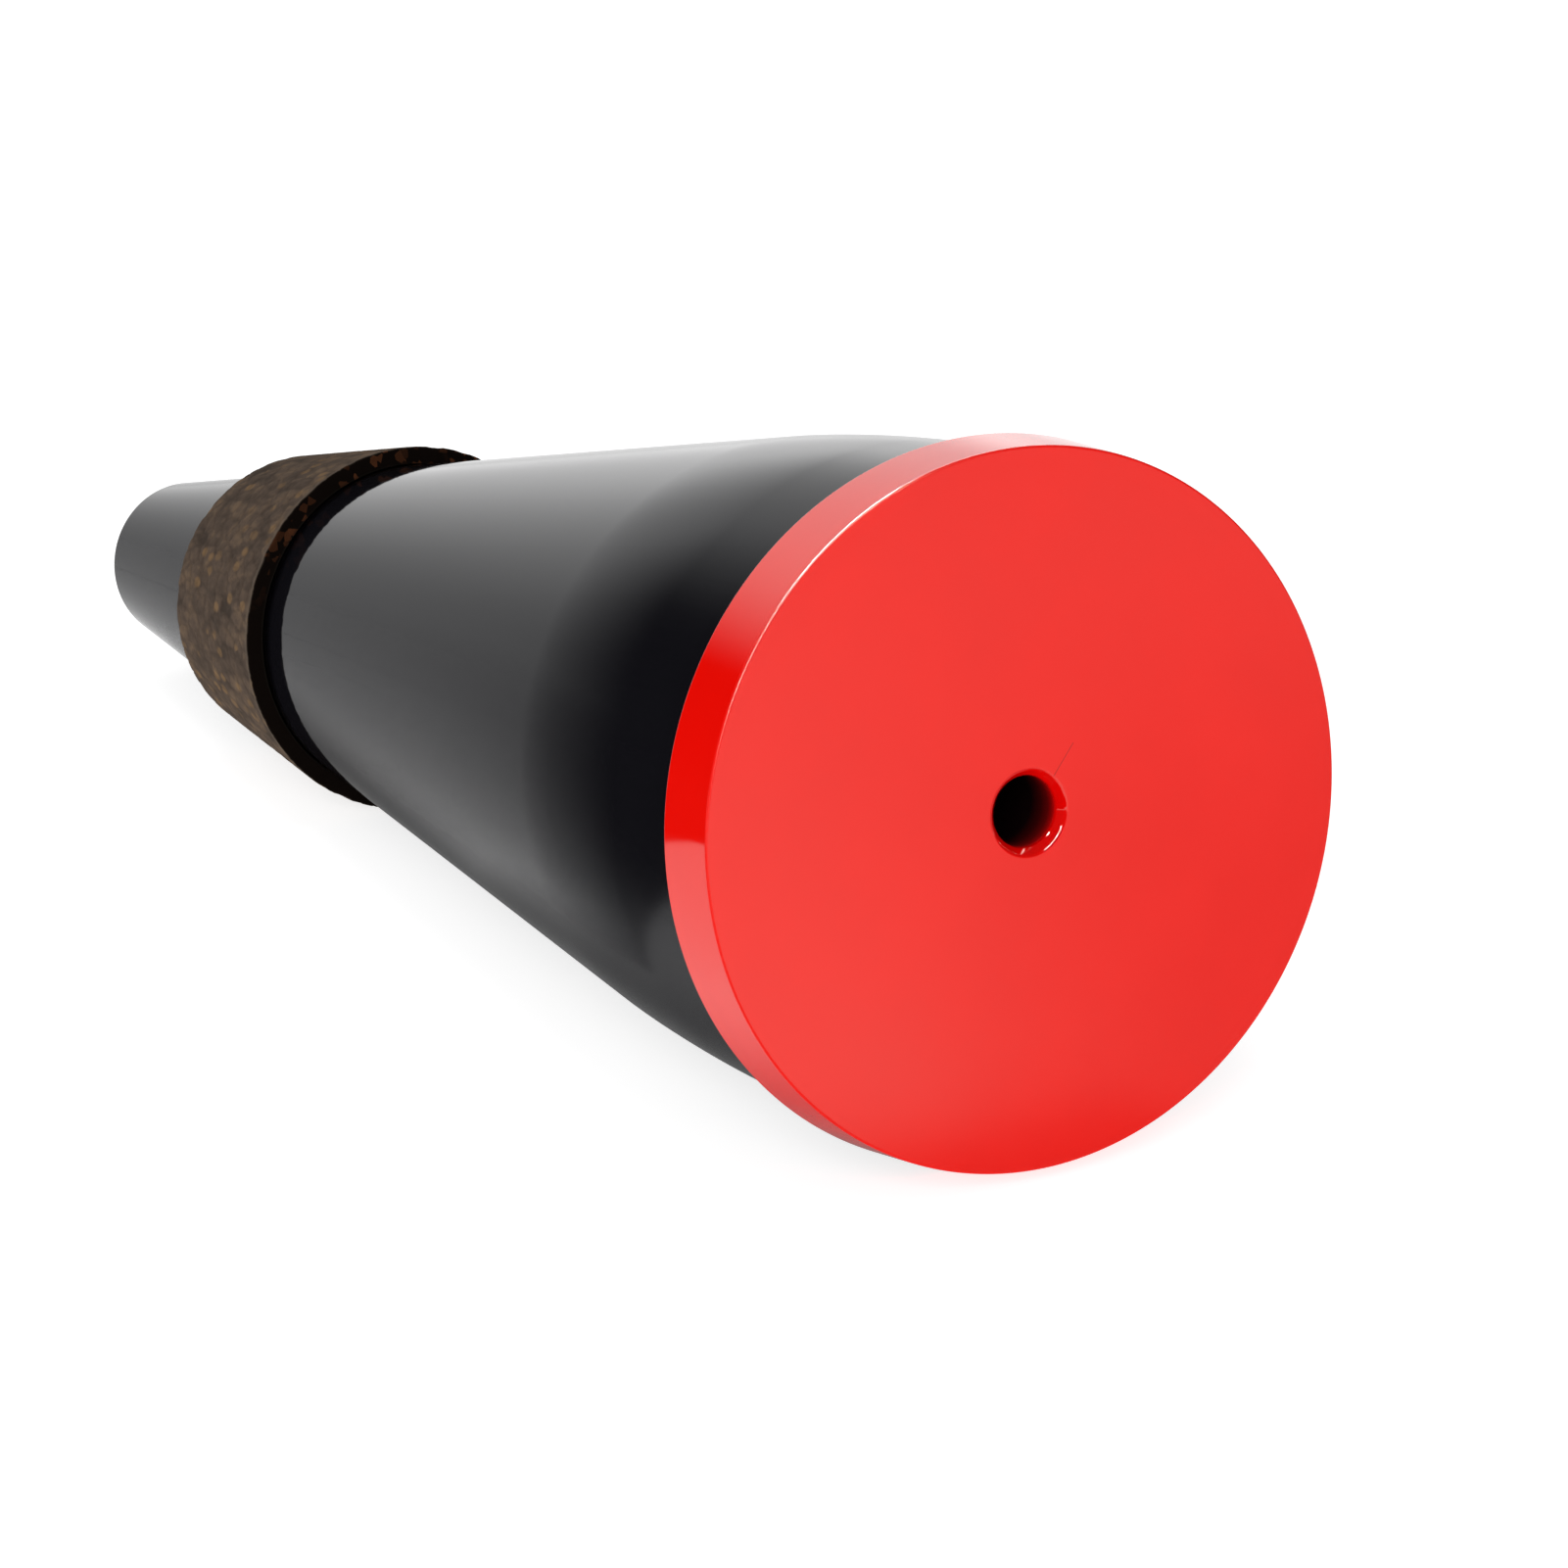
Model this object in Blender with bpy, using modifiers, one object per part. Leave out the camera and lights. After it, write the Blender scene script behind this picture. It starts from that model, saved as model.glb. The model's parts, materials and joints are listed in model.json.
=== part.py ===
"""Horn mute: a long black conical shell with a red lid at its wide end, a vent tube and a cork ring.

The mute lies on its side, as it is put down on a table: the shell's bend and the cork's front
edge touch the floor at z = 0, and the narrow end points along +Y.
Every piece is turned about the mute's own axis. Sizes here are in millimetres and are measured
along that axis from the lid's flat face; the model itself is in metres.
"""

import math

import bpy
from mathutils import Matrix

MM = 0.001

# Driving dimensions of the whole mute
LENGTH = 280.0
BASE_DIAMETER = 102.0
NECK_DIAMETER = 27.5
WALL = 2.0

# Gap that a bonded joint keeps between its two faces
GLUE_GAP = 0.3

# Shell: a straight cone that bends softly into an almost straight skirt near the lid
BEND_AT = 47.5
BEND_DIAMETER = 94.8
BEND_RADIUS = 300.0
SKIRT_DIAMETER = 97.4
NECK_LIP_RADIUS = 0.8
SKIRT_EDGE_RADIUS = 0.4

# Lid: a moulded cap whose rim slips over the shell's skirt
LID_HEIGHT = 10.8
LID_PLATE = 3.0
LID_DRAFT = 0.55
LID_EDGE_RADIUS = 0.5
RIM_EDGE_RADIUS = 0.3
RIM_CORNER_RADIUS = 0.5

# Vent: the countersunk mouth in the lid, and the tube that carries it into the shell.
# The socket is bored into the lid's plate, so the tube ends just behind the mouth's thin lip.
MOUTH_DIAMETER = 11.7
VENT_BORE = 10.0
TUBE_WALL = 1.2
TUBE_LENGTH = 70.0
TUBE_EDGE_RADIUS = 0.3
SOCKET_FLOOR = 1.2
SOCKET_END = 12.0
SOCKET_WALL = 2.0
SOCKET_FOOT_RADIUS = 1.0

# Cork: a strip of sheet cork wrapped round the cone
CORK_FRONT = 189.0
CORK_LENGTH = 41.0
CORK_THICKNESS = 2.8
CORK_EDGE_RADIUS = 0.5

# Facets round the axis
SIDES = 64
TUBE_SIDES = 32
BEND_STEPS = 8
EDGE_STEPS = 3

# Radii that follow from the driving dimensions
NECK_RADIUS = NECK_DIAMETER / 2
BEND_POINT_RADIUS = BEND_DIAMETER / 2
SHELL_START = LID_PLATE + GLUE_GAP
CONE_SLOPE = (BEND_POINT_RADIUS - NECK_RADIUS) / (LENGTH - BEND_AT)
RIM_RADIUS = BASE_DIAMETER / 2
FACE_RADIUS = RIM_RADIUS - LID_DRAFT
SKIRT_RADIUS = SKIRT_DIAMETER / 2
LID_INNER_RADIUS = SKIRT_RADIUS + GLUE_GAP
BORE_RADIUS = VENT_BORE / 2
MOUTH_RADIUS = MOUTH_DIAMETER / 2
TUBE_RADIUS = BORE_RADIUS + TUBE_WALL
SOCKET_RADIUS = TUBE_RADIUS + GLUE_GAP
SOCKET_OUTER_RADIUS = SOCKET_RADIUS + SOCKET_WALL
CORK_BACK = CORK_FRONT + CORK_LENGTH


def cone_radius(station):
    """Outer radius of the shell's straight cone at a distance from the lid's face."""
    return NECK_RADIUS + CONE_SLOPE * (LENGTH - station)


def rounded(corners):
    """Points of a closed outline from corners (radius, station, fillet, steps), fillets as arcs."""
    points = []
    for index, (radius, station, fillet, steps) in enumerate(corners):
        if fillet == 0:
            points.append((radius, station))
            continue
        before = corners[index - 1]
        after = corners[(index + 1) % len(corners)]
        points += fillet_arc(before, (radius, station), after, fillet, steps)
    return points


def fillet_centre(before, corner, after, fillet):
    """Centre of the arc that rounds a corner, the direction to it, and the angle that the arc sweeps."""
    angle_before = math.atan2(before[1] - corner[1], before[0] - corner[0])
    angle_after = math.atan2(after[1] - corner[1], after[0] - corner[0])
    opening = (angle_after - angle_before + math.pi) % (2 * math.pi) - math.pi
    bisector = angle_before + opening / 2
    distance = fillet / math.sin(abs(opening) / 2)
    centre = (
        corner[0] + distance * math.cos(bisector),
        corner[1] + distance * math.sin(bisector),
    )
    sweep = math.copysign(math.pi - abs(opening), -opening)
    return centre, bisector, sweep


def fillet_arc(before, corner, after, fillet, steps):
    """Points of the arc that rounds a corner between its two neighbours."""
    centre, bisector, sweep = fillet_centre(before, corner, after, fillet)
    start = bisector + math.pi - sweep / 2
    return [
        (
            centre[0] + fillet * math.cos(start + sweep * step / steps),
            centre[1] + fillet * math.sin(start + sweep * step / steps),
        )
        for step in range(steps + 1)
    ]


def edge(radius, station, fillet):
    """A corner that a small edge rounding softens."""
    return (radius, station, fillet, EDGE_STEPS)


def corner(radius, station):
    """A corner that stays sharp."""
    return (radius, station, 0, 0)


def material(name, colour, roughness, metallic=0.0):
    """Principled material of one plain finish."""
    finish = bpy.data.materials.new(name)
    finish.use_nodes = True
    shader = finish.node_tree.nodes["Principled BSDF"]
    shader.inputs["Base Color"].default_value = (*colour, 1.0)
    shader.inputs["Roughness"].default_value = roughness
    shader.inputs["Metallic"].default_value = metallic
    return finish


def turned(name, corners, finish, sides, collection, axis):
    """A closed outline turned about the mute's axis, as one named object carried by the axis empty.

    The outline runs down its outer side first, from the narrow end towards the lid.
    """
    points = rounded(corners)
    mesh = bpy.data.meshes.new(name)
    vertices = [(radius * MM, 0.0, station * MM) for radius, station in points]
    edges = [(index, (index + 1) % len(points)) for index in range(len(points))]
    mesh.from_pydata(vertices, edges, [])
    mesh.materials.append(finish)
    piece = bpy.data.objects.new(name, mesh)
    collection.objects.link(piece)
    screw = piece.modifiers.new("turn", "SCREW")
    screw.axis = "Z"
    screw.angle = 2 * math.pi
    screw.steps = sides
    screw.render_steps = sides
    screw.use_merge_vertices = True
    screw.merge_threshold = 0.00001
    screw.use_smooth_shade = True
    piece.parent = axis
    piece.rotation_euler.z = math.pi / sides
    return piece


def shell_corners():
    """Hollow conical shell, open at both ends."""
    inner_bend = BEND_POINT_RADIUS - WALL
    return [
        edge(NECK_RADIUS, LENGTH, NECK_LIP_RADIUS),
        (BEND_POINT_RADIUS, BEND_AT, BEND_RADIUS, BEND_STEPS),
        edge(SKIRT_RADIUS, SHELL_START, SKIRT_EDGE_RADIUS),
        edge(SKIRT_RADIUS - WALL, SHELL_START, SKIRT_EDGE_RADIUS),
        (inner_bend, BEND_AT, BEND_RADIUS - WALL, BEND_STEPS),
        edge(NECK_RADIUS - WALL, LENGTH, NECK_LIP_RADIUS),
    ]


def lid_corners():
    """Moulded lid: drafted rim, flat plate, countersunk vent mouth and a socket for the tube."""
    countersink = MOUTH_RADIUS - BORE_RADIUS
    return [
        edge(RIM_RADIUS, LID_HEIGHT, RIM_EDGE_RADIUS),
        edge(FACE_RADIUS, 0.0, LID_EDGE_RADIUS),
        corner(MOUTH_RADIUS, 0.0),
        corner(BORE_RADIUS, countersink),
        corner(BORE_RADIUS, SOCKET_FLOOR),
        corner(SOCKET_RADIUS, SOCKET_FLOOR),
        edge(SOCKET_RADIUS, SOCKET_END, RIM_EDGE_RADIUS),
        edge(SOCKET_OUTER_RADIUS, SOCKET_END, RIM_EDGE_RADIUS),
        edge(SOCKET_OUTER_RADIUS, LID_PLATE, SOCKET_FOOT_RADIUS),
        edge(LID_INNER_RADIUS, LID_PLATE, RIM_CORNER_RADIUS),
        edge(LID_INNER_RADIUS, LID_HEIGHT, RIM_EDGE_RADIUS),
    ]


def tube_corners():
    """Plain vent tube, bonded into the lid's socket."""
    start = SOCKET_FLOOR + GLUE_GAP
    end = start + TUBE_LENGTH
    return [
        edge(TUBE_RADIUS, end, TUBE_EDGE_RADIUS),
        edge(TUBE_RADIUS, start, TUBE_EDGE_RADIUS),
        edge(BORE_RADIUS, start, TUBE_EDGE_RADIUS),
        edge(BORE_RADIUS, end, TUBE_EDGE_RADIUS),
    ]


def cork_corners():
    """Cork strip that follows the cone, with square cut ends and slightly worn edges."""
    back = cone_radius(CORK_BACK) + GLUE_GAP
    front = cone_radius(CORK_FRONT) + GLUE_GAP
    return [
        edge(back + CORK_THICKNESS, CORK_BACK, CORK_EDGE_RADIUS),
        edge(front + CORK_THICKNESS, CORK_FRONT, CORK_EDGE_RADIUS),
        corner(front, CORK_FRONT),
        corner(back, CORK_BACK),
    ]


def resting_tilt(bend_centre, cork_centre, bend_radius):
    """Tilt of the axis when the bend's arc and the cork's front rounding both touch the floor."""
    run = cork_centre[1] - bend_centre[1]
    drop = bend_centre[0] - cork_centre[0]
    rise = CORK_EDGE_RADIUS - bend_radius
    return math.atan2(drop, run) - math.asin(rise / math.hypot(run, drop))


def lying_axis():
    """Matrix that lays the mute down, its flats on z = 0 and the middle of its box over the origin."""
    neck, bend, skirt = shell_corners()[:3]
    cork_back, cork_front, cork_inner = cork_corners()[:3]
    bend_centre = fillet_centre(neck, bend, skirt, BEND_RADIUS)[0]
    cork_centre = fillet_centre(cork_back, cork_front, cork_inner, CORK_EDGE_RADIUS)[0]
    # A flat between two corners of a facetted round lies this much nearer to the axis.
    flat = math.cos(math.pi / SIDES)
    bend_centre = (bend_centre[0] * flat, bend_centre[1])
    cork_centre = (cork_centre[0] * flat, cork_centre[1])
    bend_radius = BEND_RADIUS * flat
    tilt = resting_tilt(bend_centre, cork_centre, bend_radius)
    height = bend_centre[0] * math.cos(tilt) + bend_centre[1] * math.sin(tilt) + bend_radius
    nearest = -FACE_RADIUS * math.sin(tilt)
    furthest = LENGTH * math.cos(tilt) + NECK_RADIUS * math.sin(tilt)
    middle = (nearest + furthest) / 2
    print("tilt in degrees:", round(math.degrees(tilt), 4))
    print("lid face centre in mm:", round(-middle, 3), round(height, 3))
    place = Matrix.Translation((0.0, -middle * MM, height * MM))
    return place @ Matrix.Rotation(-(math.pi / 2 + tilt), 4, "X")


def main():
    for old in list(bpy.data.objects):
        bpy.data.objects.remove(old)
    collection = bpy.data.collections.new("horn_mute")
    bpy.context.scene.collection.children.link(collection)

    axis = bpy.data.objects.new("mute_axis", None)
    axis.matrix_world = lying_axis()
    collection.objects.link(axis)

    black = material("black_shell", (0.012, 0.012, 0.014), 0.32)
    red = material("red_lid", (0.80, 0.02, 0.015), 0.22)
    cork = material("dark_cork", (0.13, 0.085, 0.055), 0.85)

    turned("conical_shell", shell_corners(), black, SIDES, collection, axis)
    turned("base_lid", lid_corners(), red, SIDES, collection, axis)
    turned("vent_tube", tube_corners(), black, TUBE_SIDES, collection, axis)
    turned("cork_ring", cork_corners(), cork, SIDES, collection, axis)


main()
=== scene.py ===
# %% [markdown]
# # A horn mute, dressed for its photograph
#
# The object is a mute for a brass horn: a hollow black cone with a red lid on its wide end, a vent
# tube behind the hole in the lid, and a ring of cork near the narrow end. The frame holds the
# solids at their real size, with flat facets round the axis. This lesson turns each of them again
# as a smooth piece of the same size, gives every surface its finish, and sets up a white table, soft
# light and the camera.

# %% Load the frame
import json
import math

import bmesh
import bpy
from mathutils import Matrix, Vector, noise


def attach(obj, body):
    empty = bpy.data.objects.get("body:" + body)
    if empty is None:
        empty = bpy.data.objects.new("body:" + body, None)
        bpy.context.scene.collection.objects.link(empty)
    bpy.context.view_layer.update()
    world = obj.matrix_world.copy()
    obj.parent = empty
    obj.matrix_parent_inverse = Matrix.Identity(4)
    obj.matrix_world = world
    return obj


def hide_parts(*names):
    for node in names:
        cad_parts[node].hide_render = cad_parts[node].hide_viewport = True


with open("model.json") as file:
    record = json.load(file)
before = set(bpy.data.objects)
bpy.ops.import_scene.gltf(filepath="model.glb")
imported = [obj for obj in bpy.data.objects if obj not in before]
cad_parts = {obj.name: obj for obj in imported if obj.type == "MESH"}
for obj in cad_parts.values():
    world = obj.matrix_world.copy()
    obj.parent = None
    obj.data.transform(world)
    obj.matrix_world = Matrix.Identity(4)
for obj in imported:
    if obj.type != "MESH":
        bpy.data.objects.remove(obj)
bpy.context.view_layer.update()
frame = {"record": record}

# %% [markdown]
# ## The mute's own axis
#
# Every piece is turned about one axis, and the mute lies on its side, so that axis is tilted. The
# frame's record says where it is: the lid's flat face has an outward normal, and the cork's seat has
# a point on the axis. From these two we build one matrix. A piece is modelled upright, in millimetres
# along Z from the lid's face, and the matrix lays it down in the frame.

# %% Axis matrix from the record
MM = 0.001

mounts = {mount["name"]: mount for mount in frame["record"]["mounts"]}
axis_direction = -Vector(mounts["base_face"]["axis"]).normalized()
axis_point = Vector(mounts["cork_seat"]["pos_m"])
face_point = Vector(mounts["base_face"]["pos_m"])
face_centre = axis_point + axis_direction * (face_point - axis_point).dot(axis_direction)

across = Vector((1.0, 0.0, 0.0))
below = axis_direction.cross(across)
laid_down = Matrix((across, below, axis_direction)).transposed().to_4x4()
laid_down.translation = face_centre
print("lid face centre:", [round(v, 5) for v in face_centre])
print("axis:", [round(v, 4) for v in axis_direction])

# %% [markdown]
# ## Turning an outline
#
# A moulded plastic piece is never quite sharp: its edges are rounded by a few tenths of a millimetre,
# and those small roundings catch the light as fine bright lines. So an outline starts as a handful
# of corners, the bevel operator rounds each corner of the wire, and one full spin turns it about Z.
# The spin's seam is merged, the doubles are removed and the normals are made to point outwards.

# %% Helpers that turn an outline
TURNED_SEGMENTS = 256
MERGE_DISTANCE = 1e-6


def outline(corners):
    """A closed wire through corners (radius, station, rounding, steps), in millimetres."""
    wire = bmesh.new()
    points = [wire.verts.new((radius * MM, 0.0, station * MM)) for radius, station, _, _ in corners]
    for index, point in enumerate(points):
        wire.edges.new((points[index - 1], point))
    for point, (_, _, rounding, steps) in zip(points, corners):
        if rounding:
            bmesh.ops.bevel(
                wire, geom=[point], offset=rounding * MM, offset_type="OFFSET",
                segments=steps, profile=0.5, affect="VERTICES", material=-1,
            )
    return wire


def spin_outline(wire, segments=TURNED_SEGMENTS):
    """Turns the wire a full circle about Z and closes the seam."""
    bmesh.ops.spin(
        wire, geom=wire.verts[:] + wire.edges[:], cent=(0, 0, 0), axis=(0, 0, 1),
        angle=2 * math.pi, steps=segments, use_merge=True,
    )
    bmesh.ops.remove_doubles(wire, verts=wire.verts, dist=MERGE_DISTANCE)
    bmesh.ops.recalc_face_normals(wire, faces=wire.faces)


def lay_down(turned, name):
    """Makes the bmesh an object, with its place in its mesh and the object at the origin."""
    turned.transform(laid_down)
    mesh = bpy.data.meshes.new(name)
    turned.to_mesh(mesh)
    turned.free()
    mesh.shade_smooth()
    piece = bpy.data.objects.new(name, mesh)
    bpy.context.scene.collection.objects.link(piece)
    print(name, "faces:", len(mesh.polygons))
    return piece


def even_normals(piece):
    """Large faces keep their own normals, so a flat stays flat beside a small rounding."""
    weighted = piece.modifiers.new("even_normals", "WEIGHTED_NORMAL")
    weighted.mode = "FACE_AREA"
    weighted.weight = 100
    weighted.keep_sharp = True


def dress(piece, node):
    """The piece stands for a solid of the frame and moves with the mute."""
    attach(piece, "root")
    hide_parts(node)


# %% [markdown]
# ## The conical shell
#
# The shell is one moulding, about 2 mm thick. Most of it is a straight cone. Some 50 mm from the lid
# the cone bends softly into a skirt that is almost a cylinder, and that change of slope is what makes
# the reflections slide from grey to black across it. The bend is one corner of the outline, rounded
# over a length of 17 mm to each side.

# %% Shell
LENGTH = 280.0
NECK_RADIUS = 13.75
BEND_STATION = 47.5
BEND_RADIUS = 47.4
SKIRT_STATION = 3.3
SKIRT_RADIUS = 48.7
WALL = 2.0
BEND_REACH = 17.0
BEND_STEPS = 24
LIP_ROUNDING = 0.8
LIP_STEPS = 6
SKIRT_ROUNDING = 0.4
HIDDEN_STEPS = 3

shell = outline([
    (NECK_RADIUS, LENGTH, LIP_ROUNDING, LIP_STEPS),
    (BEND_RADIUS, BEND_STATION, BEND_REACH, BEND_STEPS),
    (SKIRT_RADIUS, SKIRT_STATION, SKIRT_ROUNDING, HIDDEN_STEPS),
    (SKIRT_RADIUS - WALL, SKIRT_STATION, SKIRT_ROUNDING, HIDDEN_STEPS),
    (BEND_RADIUS - WALL, BEND_STATION, BEND_REACH, BEND_STEPS),
    (NECK_RADIUS - WALL, LENGTH, LIP_ROUNDING, LIP_STEPS),
])
spin_outline(shell)
shell_piece = lay_down(shell, "smooth_shell")
even_normals(shell_piece)
dress(shell_piece, "conical_shell")

# %% [markdown]
# ## The red lid
#
# The lid is a shallow moulded cap. Its rim widens slightly towards the open edge, the draft that lets
# a moulding leave its tool, and slips over the shell's skirt. The vent's mouth is countersunk. Its two
# edges get a small rounding each, because in the photograph they shine as two fine arcs.

# %% Lid
RIM_RADIUS = 51.0
RIM_HEIGHT = 10.8
FACE_RADIUS = 50.45
FACE_ROUNDING = 0.36
SHINING_STEPS = 10
RIM_ROUNDING = 0.3
RIM_STEPS = 6
LID_INNER_RADIUS = 49.0
PLATE = 3.0
MOUTH_RADIUS = 6.0
BORE_RADIUS = 5.0
MOUTH_ROUNDING = 0.36
MOUTH_STEPS = 8
MOUTH_DEPTH = 1.2
LIP_EDGE_ROUNDING = 0.24
SOCKET_FLOOR = 1.45
SOCKET_END = 12.0
SOCKET_RADIUS = 6.5
SOCKET_OUTER_RADIUS = 8.5
SOCKET_FOOT = 1.0
FOOT_STEPS = 4
SHARP = (0.0, 0)

lid = outline([
    (RIM_RADIUS, RIM_HEIGHT, RIM_ROUNDING, RIM_STEPS),
    (FACE_RADIUS, 0.0, FACE_ROUNDING, SHINING_STEPS),
    (MOUTH_RADIUS, 0.0, MOUTH_ROUNDING, MOUTH_STEPS),
    (BORE_RADIUS, MOUTH_DEPTH, LIP_EDGE_ROUNDING, SHINING_STEPS),
    (BORE_RADIUS, SOCKET_FLOOR, *SHARP),
    (SOCKET_RADIUS, SOCKET_FLOOR, *SHARP),
    (SOCKET_RADIUS, SOCKET_END, RIM_ROUNDING, HIDDEN_STEPS),
    (SOCKET_OUTER_RADIUS, SOCKET_END, RIM_ROUNDING, HIDDEN_STEPS),
    (SOCKET_OUTER_RADIUS, PLATE, SOCKET_FOOT, FOOT_STEPS),
    (LID_INNER_RADIUS, PLATE, RIM_ROUNDING, HIDDEN_STEPS),
    (LID_INNER_RADIUS, RIM_HEIGHT, RIM_ROUNDING, HIDDEN_STEPS),
])
spin_outline(lid)
lid_piece = lay_down(lid, "smooth_lid")
even_normals(lid_piece)
dress(lid_piece, "base_lid")

# %% [markdown]
# ## The vent tube
#
# Behind the mouth the vent goes on as a plain black tube, seated in the lid's socket right behind the
# mouth's thin lip. Only the first millimetres of its bore show, painted a dark red, the lid's reflected
# light, that sinks into painted shade.

# %% Tube
TUBE_RADIUS = 6.2
TUBE_START = 1.5
TUBE_END = 71.5
TUBE_ROUNDING = 0.3
TUBE_MOUTH_ROUNDING = 0.05
TUBE_MOUTH_STEPS = 2
TUBE_SEGMENTS = 96

tube = outline([
    (TUBE_RADIUS, TUBE_END, TUBE_ROUNDING, HIDDEN_STEPS),
    (TUBE_RADIUS, TUBE_START, TUBE_ROUNDING, HIDDEN_STEPS),
    (BORE_RADIUS, TUBE_START, TUBE_MOUTH_ROUNDING, TUBE_MOUTH_STEPS),
    (BORE_RADIUS, TUBE_END, TUBE_ROUNDING, HIDDEN_STEPS),
])
spin_outline(tube, TUBE_SEGMENTS)
tube_piece = lay_down(tube, "smooth_tube")
even_normals(tube_piece)
dress(tube_piece, "vent_tube")

# %% [markdown]
# ## The cork ring
#
# The cork is a strip of agglomerated cork, ground granules pressed together with a binder, wrapped
# round the cone. Its outline is cut into short steps before the spin, so that the surface has enough
# points to carry the granules. A Voronoi pattern then gives each granule its own height, presses the
# joints between granules in and leaves a few pits where a granule fell out. The same pattern is kept
# in two attributes, so that the finish can darken the joints and shade each granule on its own.

# %% Cork outline
CORK_FRONT = 189.0
CORK_BACK = 230.0
CORK_THICKNESS = 2.8
GLUE_GAP = 0.3
CORK_ROUNDING = 0.55
CORK_ROUNDING_STEPS = 4
CORK_SEGMENTS = 448
CORK_STEP = 0.42
INSIDE_HEIGHT = 0.01

cone_slope = (BEND_RADIUS - NECK_RADIUS) / (LENGTH - BEND_STATION)


def cone_radius(station):
    """Outer radius of the cone, in millimetres, at a distance from the lid's face."""
    return NECK_RADIUS + cone_slope * (LENGTH - station)


def height_over_glue(place):
    """How far a place, in millimetres, is outside the glue on the cone."""
    return math.hypot(place.x, place.y) - cone_radius(place.z) - GLUE_GAP


cork_front_inner = cone_radius(CORK_FRONT) + GLUE_GAP
cork_back_inner = cone_radius(CORK_BACK) + GLUE_GAP
cork = outline([
    (cork_back_inner + CORK_THICKNESS, CORK_BACK, CORK_ROUNDING, CORK_ROUNDING_STEPS),
    (cork_front_inner + CORK_THICKNESS, CORK_FRONT, CORK_ROUNDING, CORK_ROUNDING_STEPS),
    (cork_front_inner, CORK_FRONT, *SHARP),
    (cork_back_inner, CORK_BACK, *SHARP),
])
for long_edge in [edge for edge in cork.edges if edge.calc_length() > 2 * CORK_STEP * MM]:
    is_inside = all(height_over_glue(point.co / MM) < INSIDE_HEIGHT for point in long_edge.verts)
    if not is_inside:
        cuts = round(long_edge.calc_length() / (CORK_STEP * MM)) - 1
        bmesh.ops.subdivide_edges(cork, edges=[long_edge], cuts=cuts)
spin_outline(cork, CORK_SEGMENTS)
print("cork points:", len(cork.verts))

# %% Cork granules
GRANULE = 2.6
GRANULE_STRETCH = 0.55
JOINT_WIDTH = 0.20
JOINT_DEPTH = 0.10
GRANULE_RISE = 0.05
GRANULE_SEED = 5.17
PIT_SHADE = 0.27
PIT_DEPTH = 0.15
RELIEF_RISE = 1.0
SEAM_WIDTH = 0.5
SEAM_DEPTH = 0.45
SEAM_SLANT = 0.25
SEAM_ANGLE = math.radians(-20.0)

shade_layer = cork.verts.layers.float.new("granule_shade")
joint_layer = cork.verts.layers.float.new("granule_joint")


def granule_at(place):
    """Shade from 0 to 1 of the granule at a place in millimetres, and how near its joint is."""
    cell = Vector((place.x, place.y, place.z * GRANULE_STRETCH)) / GRANULE
    distances, seeds = noise.voronoi(cell)
    shade = 0.5 + 0.5 * noise.noise(seeds[0] * GRANULE_SEED)
    joint = max(0.0, 1.0 - (distances[1] - distances[0]) / JOINT_WIDTH)
    return shade, joint


def seam_at(place):
    """1 on the line where the strip's two cut ends meet, 0 away from it."""
    angle = SEAM_ANGLE + SEAM_SLANT * (place.z - CORK_FRONT) / (CORK_BACK - CORK_FRONT)
    aside = abs(place.x * math.sin(angle) - place.y * math.cos(angle))
    ahead = place.x * math.cos(angle) + place.y * math.sin(angle)
    return max(0.0, 1.0 - aside / SEAM_WIDTH) if ahead > 0 else 0.0


cork.normal_update()
cork_moves = []
for point in cork.verts:
    place = point.co / MM
    shade, joint = granule_at(place)
    seam = seam_at(place)
    pit = PIT_DEPTH * (1.0 - joint) if shade < PIT_SHADE else 0.0
    depth = JOINT_DEPTH * joint + GRANULE_RISE * (1.0 - shade) + pit + SEAM_DEPTH * seam
    point[shade_layer] = shade
    point[joint_layer] = max(joint, seam)
    share = min(1.0, max(0.0, height_over_glue(place) / RELIEF_RISE))
    cork_moves.append((point, -point.normal * depth * share * MM))
for point, move in cork_moves:
    point.co += move
print("deepest cork relief, mm:", round(max(move.length for _, move in cork_moves) / MM, 3))

cork_piece = lay_down(cork, "cork_strip")
dress(cork_piece, "cork_ring")

# %% [markdown]
# ## Nodes for the finishes
#
# The finishes are built from nodes. A small helper makes a node, sets its properties and links or
# fills its sockets. Object coordinates are turned back into the mute's own axes by one Mapping node of
# the Texture kind, which applies the inverse of the place and turn it is given: with a scale of one
# millimetre, a pattern is then written in millimetres, and its Z is the distance from the lid's face.

# %% Helpers for nodes and coordinates
def node(tree, kind, sockets=None, **settings):
    """A new shader node. Sockets are filled with a value, or linked where the value is a socket."""
    made = tree.nodes.new("ShaderNode" + kind)
    for name, value in settings.items():
        setattr(made, name, value)
    for name, value in (sockets or {}).items():
        if isinstance(value, bpy.types.NodeSocket):
            tree.links.new(value, made.inputs[name])
        else:
            made.inputs[name].default_value = value
    return made


def mute_coordinates(tree):
    """Object coordinates in the mute's own axes, in millimetres."""
    place = node(tree, "TexCoord").outputs["Object"]
    mapping = node(tree, "Mapping", {"Vector": place, "Location": face_centre}, vector_type="TEXTURE")
    mapping.inputs["Rotation"].default_value = laid_down.to_euler()
    mapping.inputs["Scale"].default_value = (MM, MM, MM)
    return mapping.outputs["Vector"]


def stretched(tree, vector, scale):
    """The coordinates scaled, to stretch a pattern."""
    return node(tree, "Mapping", {"Vector": vector, "Scale": scale}).outputs["Vector"]


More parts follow.
